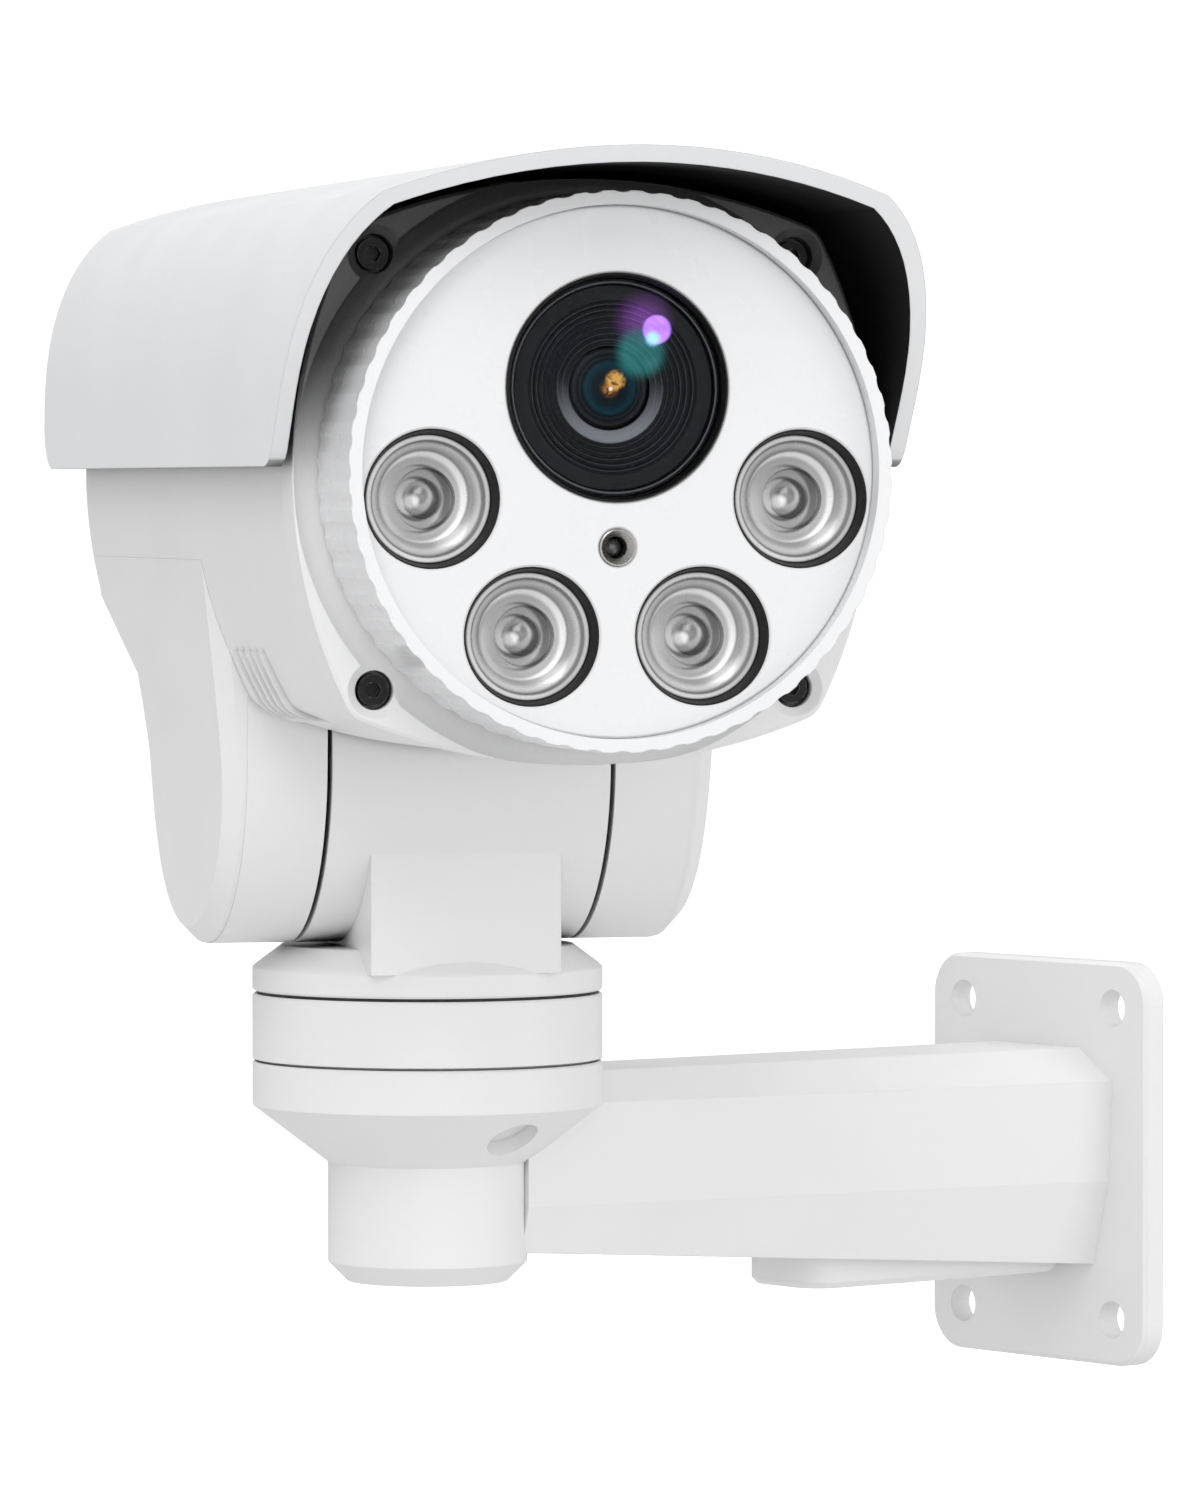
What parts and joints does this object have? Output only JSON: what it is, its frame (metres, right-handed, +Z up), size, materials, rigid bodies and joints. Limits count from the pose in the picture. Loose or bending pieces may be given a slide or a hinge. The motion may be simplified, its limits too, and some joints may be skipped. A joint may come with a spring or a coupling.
{
  "type": "ptz camera",
  "caption": "White pan-tilt-zoom bullet security camera with round scalloped face, infra-red lights, sun shield and a wall arm.",
  "frame": {"origin": "centre of the wall plate's back face", "axes": "+Y into the wall, +Z up, the arm reaches out along -Y to the pan axis; at rest the head is turned 66 degrees from straight out"},
  "size_m": [0.262, 0.2758, 0.2407],
  "materials": {
    "white_metal": "satin powder coat",
    "white_plastic": "semi-gloss moulded",
    "black_plastic": "satin black",
    "black_gloss": "gloss black",
    "clear_glass": "coated",
    "board_green": "solder mask",
    "chip_black": "matt",
    "dark_steel": "blackened",
    "steel": "turned",
    "brass": "plain",
    "acetal": "natural",
    "aluminium": "milled",
    "seal_rubber": "matt"
  },
  "bodies": {
    "base": {"wall_bracket": "white_metal", "cable_hatch": "white_metal", "hatch_screws": "steel", "main_cable": "seal_rubber", "base_ring": "white_metal", "base_screws": "steel", "pan_seal": "seal_rubber", "bearing_outer_race": "steel", "bearing_balls": "steel", "pan_gear": "acetal"},
    "turret": {"bearing_inner_race": "steel", "pan_shaft": "steel", "pan_shaft_nut": "steel", "turret_yoke": "white_metal", "barrel_end_cap": "white_metal", "tilt_bush_left": "brass", "tilt_bush_right": "brass", "pan_motor": "steel", "tilt_motor": "steel"},
    "pan_drive": {"pan_pinion": "brass"},
    "tilt_drive": {"tilt_pinion": "brass"},
    "zoom_group": {"zoom_barrel": "black_gloss", "front_element": "clear_glass"},
    "filter": {"filter_shuttle": "black_plastic"},
    "head": {"head_housing": "white_metal", "ear_cover_left": "white_metal", "ear_cover_right": "white_metal", "service_cover": "white_metal", "front_frame": "white_metal", "sun_shield": "white_metal", "shield_spacers": "white_metal", "front_cap": "white_plastic", "face_plate": "white_plastic", "led_cups": "black_plastic", "lens_tube": "black_plastic", "filter_carrier": "black_plastic", "board_posts": "black_plastic", "lens_bezel": "black_gloss", "lens_window": "clear_glass", "rear_element": "clear_glass", "led_optics": "clear_glass", "light_sensor": "clear_glass", "led_board": "board_green", "sensor_board": "board_green", "main_board": "board_green", "board_chips": "chip_black", "image_sensor": "chip_black", "led_chips": "chip_black", "frame_screws": "dark_steel", "service_screws": "steel", "shield_screws": "steel", "tilt_axle_left": "steel", "tilt_axle_right": "steel", "zoom_drive": "steel", "guide_rod": "steel", "light_sensor_bezel": "steel", "tilt_gear": "acetal", "lens_mount": "aluminium", "frame_gasket": "seal_rubber"}
  },
  "joints": [
    {"name": "pan", "type": "hinge", "parent": "base", "child": "turret", "pos_m": [0, -0.165, 0.04], "axis": [0, 0, 1], "range_deg": [-243.5, 111.5]},
    {"name": "tilt", "type": "hinge", "parent": "turret", "child": "head", "pos_m": [0, -0.165, 0.0865], "axis": [0.4067, 0.9135, 0], "range_deg": [-60, 25]},
    {"name": "pan_pinion_spin", "type": "hinge", "parent": "turret", "child": "pan_drive", "pos_m": [-0.0137, -0.1589, 0.033], "axis": [0, 0, 1], "range_deg": [-630, 290]},
    {"name": "tilt_pinion_spin", "type": "hinge", "parent": "turret", "child": "tilt_drive", "pos_m": [0, -0.165, 0.1015], "axis": [0.4067, 0.9135, 0], "range_deg": [-66, 156]},
    {"name": "zoom", "type": "slide", "parent": "head", "child": "zoom_group", "axis": [0.9135, -0.4067, 0], "range_m": [-0.0095, 0]},
    {"name": "ir_filter", "type": "slide", "parent": "head", "child": "filter", "axis": [0.4067, 0.9135, 0], "range_m": [0, 0.009]}
  ],
  "couplings": [
    {"joint": "pan_pinion_spin", "follows": "pan", "ratio": 2.5714},
    {"joint": "tilt_pinion_spin", "follows": "tilt", "ratio": -2.5714}
  ]
}
